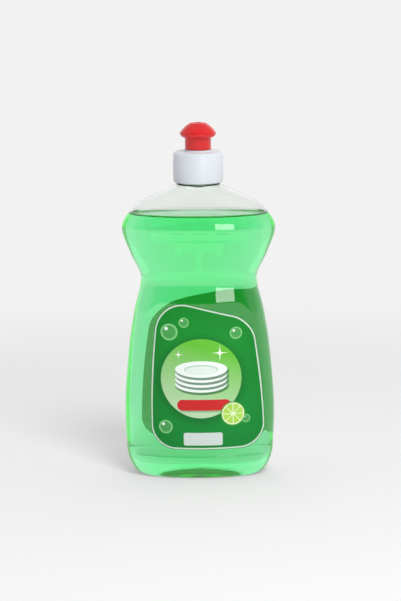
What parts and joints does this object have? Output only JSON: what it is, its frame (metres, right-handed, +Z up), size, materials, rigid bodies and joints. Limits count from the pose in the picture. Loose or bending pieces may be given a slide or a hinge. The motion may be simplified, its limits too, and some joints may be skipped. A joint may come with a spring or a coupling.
{
  "type": "dish soap bottle",
  "caption": "Waisted clear bottle of green dish soap with printed film labels, a white screw cap and a red push-pull spout.",
  "frame": {"origin": "middle of the base, on the surface that the bottle stands on", "axes": "+Z up, +X to the right across the bottle's width, -Y towards the front label"},
  "size_m": [0.0946, 0.0492, 0.2193],
  "materials": {
    "clear_plastic": "clear, glossy blown plastic",
    "green_soap": "clear green liquid",
    "label_film": "printed glossy film",
    "liner_foam": "matt foam",
    "white_plastic": "satin moulded plastic",
    "red_plastic": "glossy moulded plastic"
  },
  "bodies": {
    "bottle_body": {"bottle": "clear_plastic", "dish_soap": "green_soap", "front_label": "label_film", "back_label": "label_film"},
    "liner_body": {"cap_liner": "liner_foam"},
    "cap_body": {"screw_cap": "white_plastic"},
    "spout_body": {"spout": "red_plastic"}
  },
  "joints": [
    {"name": "cap_lift", "type": "slide", "parent": "bottle_body", "child": "liner_body", "axis": [0, 0, 1], "range_m": [0, 0.017]},
    {"name": "cap_turn", "type": "hinge", "parent": "liner_body", "child": "cap_body", "pos_m": [0, 0, 0.19], "axis": [0, 0, 1], "range_deg": [0, 1440]},
    {"name": "spout_pull", "type": "slide", "parent": "cap_body", "child": "spout_body", "axis": [0, 0, 1], "range_m": [0, 0.0055]}
  ],
  "couplings": [
    {"joint": "cap_lift", "follows": "cap_turn", "m_per_rad": 0.00067322}
  ]
}
